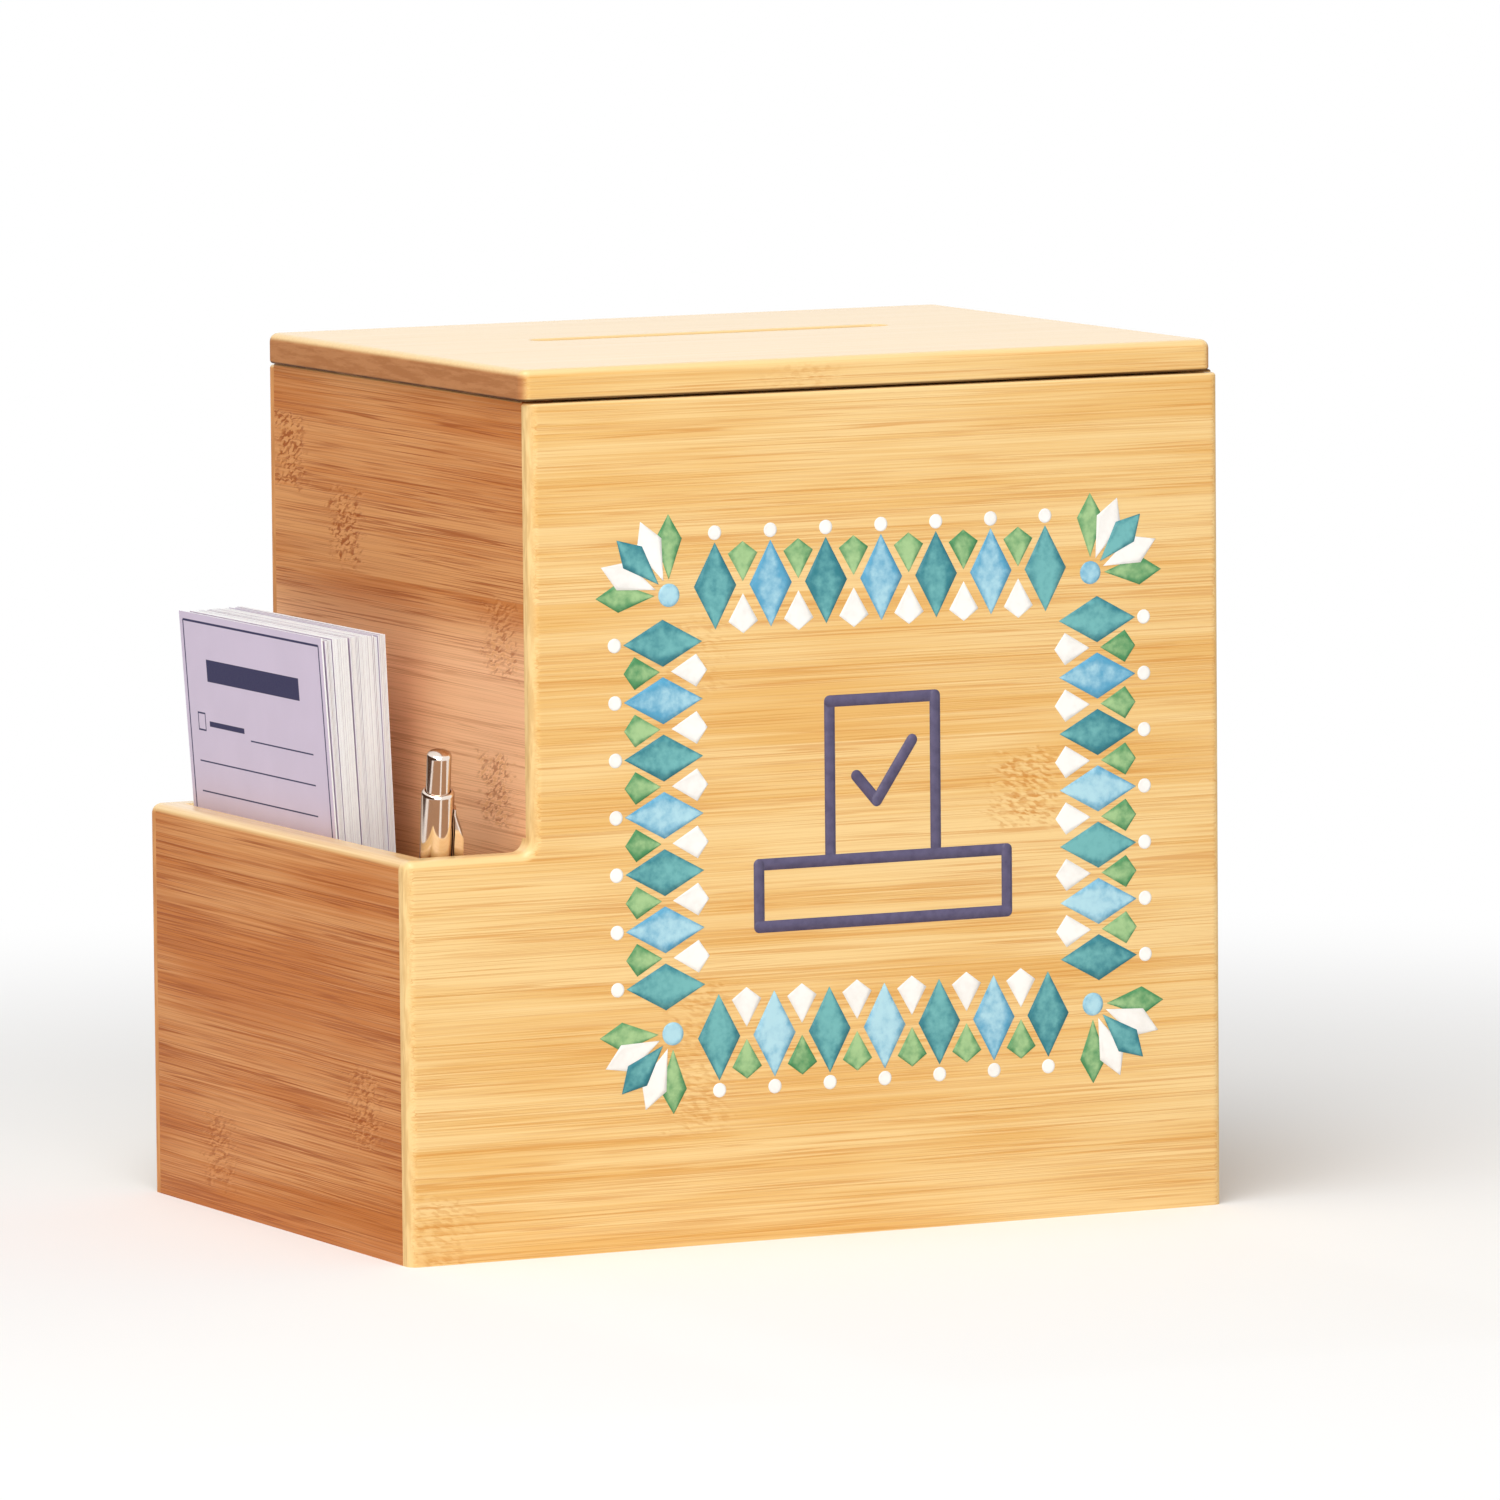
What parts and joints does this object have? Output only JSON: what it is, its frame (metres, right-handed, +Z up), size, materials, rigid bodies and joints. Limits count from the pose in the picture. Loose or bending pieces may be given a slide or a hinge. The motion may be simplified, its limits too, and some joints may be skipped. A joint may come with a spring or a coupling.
{
  "type": "ballot box",
  "caption": "Bamboo ballot box with a lift-off slotted lid and a low side pocket that holds cards and a click pen.",
  "frame": {"origin": "middle of the footprint, on the table", "axes": "+X to the right along the front, away from the pocket; +Y to the back; +Z up"},
  "size_m": [0.262, 0.182, 0.254],
  "materials": {
    "bamboo": "satin",
    "card": "matte",
    "pen_chrome": "polished",
    "ink_tube": "gloss",
    "tip_brass": "polished",
    "spring_steel": "satin",
    "cam_plastic": "matte"
  },
  "bodies": {
    "box": {"front_panel": "bamboo", "back_panel": "bamboo", "right_panel": "bamboo", "pocket_end_panel": "bamboo", "divider_panel": "bamboo", "floor_panel": "bamboo"},
    "lid": {"lid_board": "bamboo", "lid_batten_left": "bamboo", "lid_batten_right": "bamboo"},
    "front_card": {"front_card": "card"},
    "card_stack": {"card_stack": "card"},
    "pen": {"pen_upper_barrel": "pen_chrome", "pen_clip": "pen_chrome", "pen_trim_ring": "pen_chrome", "pen_lower_barrel": "pen_chrome", "pen_nose_cone": "pen_chrome", "pen_spring": "spring_steel"},
    "pen_button": {"pen_button": "pen_chrome", "pen_click_cam": "cam_plastic", "pen_refill": "ink_tube", "pen_refill_tip": "tip_brass"}
  },
  "joints": [
    {"name": "lid_lift", "type": "slide", "parent": "box", "child": "lid", "axis": [0, 0, 1], "range_m": [0, 0.1]},
    {"name": "front_card_lift", "type": "slide", "parent": "box", "child": "front_card", "axis": [-0.0698, 0, 0.9976], "range_m": [0, 0.12]},
    {"name": "cards_lift", "type": "slide", "parent": "box", "child": "card_stack", "axis": [-0.0547, 0, 0.9985], "range_m": [0, 0.12]},
    {"name": "pen_lift", "type": "slide", "parent": "box", "child": "pen", "axis": [-0.1146, -0.3398, 0.9335], "range_m": [0, 0.12]},
    {"name": "pen_click", "type": "slide", "parent": "pen", "child": "pen_button", "axis": [0.1146, 0.3398, -0.9335], "range_m": [0, 0.0045], "stiffness_N_per_m": 600, "deforming": ["pen_spring"]}
  ]
}
